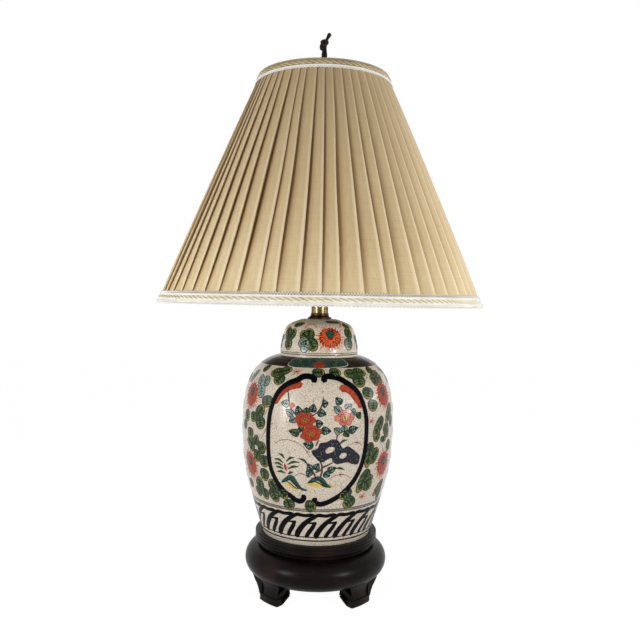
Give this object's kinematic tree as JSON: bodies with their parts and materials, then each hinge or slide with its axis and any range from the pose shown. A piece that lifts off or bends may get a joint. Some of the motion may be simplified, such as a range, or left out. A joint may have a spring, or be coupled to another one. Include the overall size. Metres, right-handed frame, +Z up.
{
  "type": "ceramic table lamp",
  "caption": "Ginger-jar table lamp: painted crackle-glaze jar and lid on a dark carved wood stand, brass neck, socket and harp, pleated empire shade held by a finial.",
  "frame": {"origin": "on the table under the middle of the lamp, at the soles of the feet", "axes": "+Z up along the lamp's axis, -Y towards the viewer, the side of the switch knob and painted panel"},
  "size_m": [0.4312, 0.4312, 0.7474],
  "materials": {
    "dark_wood": "ebonised and polished",
    "crackle_glaze": "gloss crackle glaze with painted enamels",
    "brass": "aged satin",
    "steel": "zinc plated",
    "black_plastic": "satin",
    "phenolic": "satin",
    "card": "plain",
    "aluminium": "pressed",
    "opal_glass": "frosted white",
    "frame_wire": "cream paint",
    "lining_cloth": "plain weave",
    "pleated_cloth": "slub weave, knife pleated",
    "braid": "woven braid",
    "dark_bronze": "dark patina"
  },
  "bodies": {
    "base": {"stand_top": "dark_wood", "apron_front": "dark_wood", "apron_right": "dark_wood", "apron_back": "dark_wood", "apron_left": "dark_wood", "foot_front_left": "dark_wood", "foot_front_right": "dark_wood", "foot_back_left": "dark_wood", "foot_back_right": "dark_wood", "cord_bush": "black_plastic", "base_washer": "steel", "base_nut": "steel", "lamp_pipe": "steel", "jar_body": "crackle_glaze", "jar_lid": "crackle_glaze", "vase_cap": "brass", "neck_tube": "brass", "harp_saddle": "brass", "harp_wire": "brass", "harp_stud": "brass", "socket_cap": "brass", "socket_shell": "brass", "socket_liner": "card", "switch_body": "phenolic", "screw_shell": "brass", "centre_contact": "brass"},
    "switch": {"switch_knob": "phenolic"},
    "sleeve_left": {"harp_sleeve_left": "brass"},
    "sleeve_right": {"harp_sleeve_right": "brass"},
    "bulb": {"bulb_cap": "aluminium", "bulb_envelope": "opal_glass"},
    "shade": {"shade_spider": "frame_wire", "shade_ring_top": "frame_wire", "shade_ring_bottom": "frame_wire", "shade_ribs": "frame_wire", "shade_lining": "lining_cloth", "shade_cover": "pleated_cloth", "shade_trim_top": "braid", "shade_trim_bottom": "braid"},
    "finial": {"finial": "dark_bronze"}
  },
  "joints": [
    {"name": "switch_turn", "type": "hinge", "parent": "base", "child": "switch", "pos_m": [0, -0.0213, 0.4166], "axis": [0, -1, 0], "continuous": true},
    {"name": "sleeve_left_lift", "type": "slide", "parent": "base", "child": "sleeve_left", "axis": [0, 0, 1], "range_m": [0, 0.014]},
    {"name": "sleeve_right_lift", "type": "slide", "parent": "base", "child": "sleeve_right", "axis": [0, 0, 1], "range_m": [0, 0.014]},
    {"name": "bulb_unscrew", "type": "slide", "parent": "base", "child": "bulb", "axis": [0, 0, 1], "range_m": [0, 0.03]},
    {"name": "shade_turn", "type": "hinge", "parent": "base", "child": "shade", "pos_m": [0, 0, 0.6704], "axis": [0, 0, 1], "continuous": true},
    {"name": "finial_turn", "type": "hinge", "parent": "base", "child": "finial", "pos_m": [0, 0, 0.672], "axis": [0, 0, 1], "continuous": true}
  ]
}
